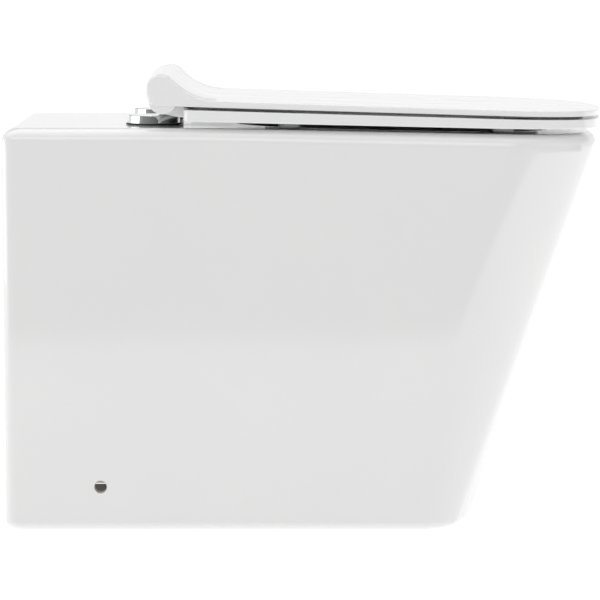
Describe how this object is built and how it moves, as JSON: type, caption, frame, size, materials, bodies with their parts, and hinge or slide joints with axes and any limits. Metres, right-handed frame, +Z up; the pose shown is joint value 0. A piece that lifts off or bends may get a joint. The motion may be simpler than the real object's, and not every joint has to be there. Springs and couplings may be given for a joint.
{
  "type": "back to wall toilet",
  "caption": "Ceramic toilet pan with straight sides down to the floor, closed back against the wall, and a slim plastic seat and lid on soft-close hinges with chrome covers.",
  "frame": {"origin": "middle of the floor area that the whole part covers, on the floor", "axes": "+X from the wall to the front of the bowl, +Y to the right as seen from the front, +Z up"},
  "size_m": [0.6025, 0.36, 0.4523],
  "materials": {
    "pan_glaze": "white gloss glaze",
    "seat_plastic": "white gloss",
    "cover_chrome": "polished",
    "steel": "turned, bright",
    "black_rubber": "matt",
    "buffer_rubber": "milky, soft",
    "nut_nylon": "natural nylon",
    "block_plastic": "white satin",
    "button_plastic": "grey satin",
    "damper_plastic": "grey satin"
  },
  "bodies": {
    "pan": {"pan_top": "pan_glaze", "pan_side_left": "pan_glaze", "pan_side_right": "pan_glaze", "pan_front": "pan_glaze", "pan_bowl": "pan_glaze", "pan_trap": "pan_glaze", "pan_inlet": "pan_glaze", "inlet_seal": "black_rubber", "hinge_gasket_left": "black_rubber", "hinge_gasket_right": "black_rubber", "hinge_base_left": "steel", "hinge_base_right": "steel", "hinge_post_left": "steel", "hinge_post_right": "steel", "hinge_cover_left": "cover_chrome", "hinge_cover_right": "cover_chrome", "seat_bolt_left": "steel", "seat_bolt_right": "steel", "bolt_sleeve_left": "black_rubber", "bolt_sleeve_right": "black_rubber", "bolt_washer_left": "black_rubber", "bolt_washer_right": "black_rubber", "wing_nut_left": "nut_nylon", "wing_nut_right": "nut_nylon"},
    "hinge_blocks": {"hinge_block_left": "block_plastic", "hinge_block_right": "block_plastic", "seat_shaft_left": "steel", "seat_shaft_right": "steel", "lid_shaft_left": "steel", "lid_shaft_right": "steel"},
    "seat": {"seat_ring": "seat_plastic", "seat_buffers": "buffer_rubber", "seat_damper_left": "damper_plastic", "seat_damper_right": "damper_plastic"},
    "lid": {"lid": "seat_plastic", "lid_buffers": "buffer_rubber", "lid_damper_left": "damper_plastic", "lid_damper_right": "damper_plastic"},
    "button_left": {"release_button_left": "button_plastic"},
    "button_right": {"release_button_right": "button_plastic"}
  },
  "joints": [
    {"name": "lift_off", "type": "slide", "parent": "pan", "child": "hinge_blocks", "axis": [0, 0, 1], "range_m": [0, 0.03]},
    {"name": "seat_hinge", "type": "hinge", "parent": "hinge_blocks", "child": "seat", "pos_m": [-0.142, 0, 0.4276], "axis": [0, -1, 0], "range_deg": [0, 97]},
    {"name": "lid_hinge", "type": "hinge", "parent": "seat", "child": "lid", "pos_m": [-0.142, 0, 0.4276], "axis": [0, 1, 0], "range_deg": [-97, 0]},
    {"name": "release_button_left_slide", "type": "slide", "parent": "hinge_blocks", "child": "button_left", "axis": [1, 0, 0], "range_m": [0, 0.0025], "stiffness_N_per_m": 1200},
    {"name": "release_button_right_slide", "type": "slide", "parent": "hinge_blocks", "child": "button_right", "axis": [1, 0, 0], "range_m": [0, 0.0025], "stiffness_N_per_m": 1200}
  ]
}
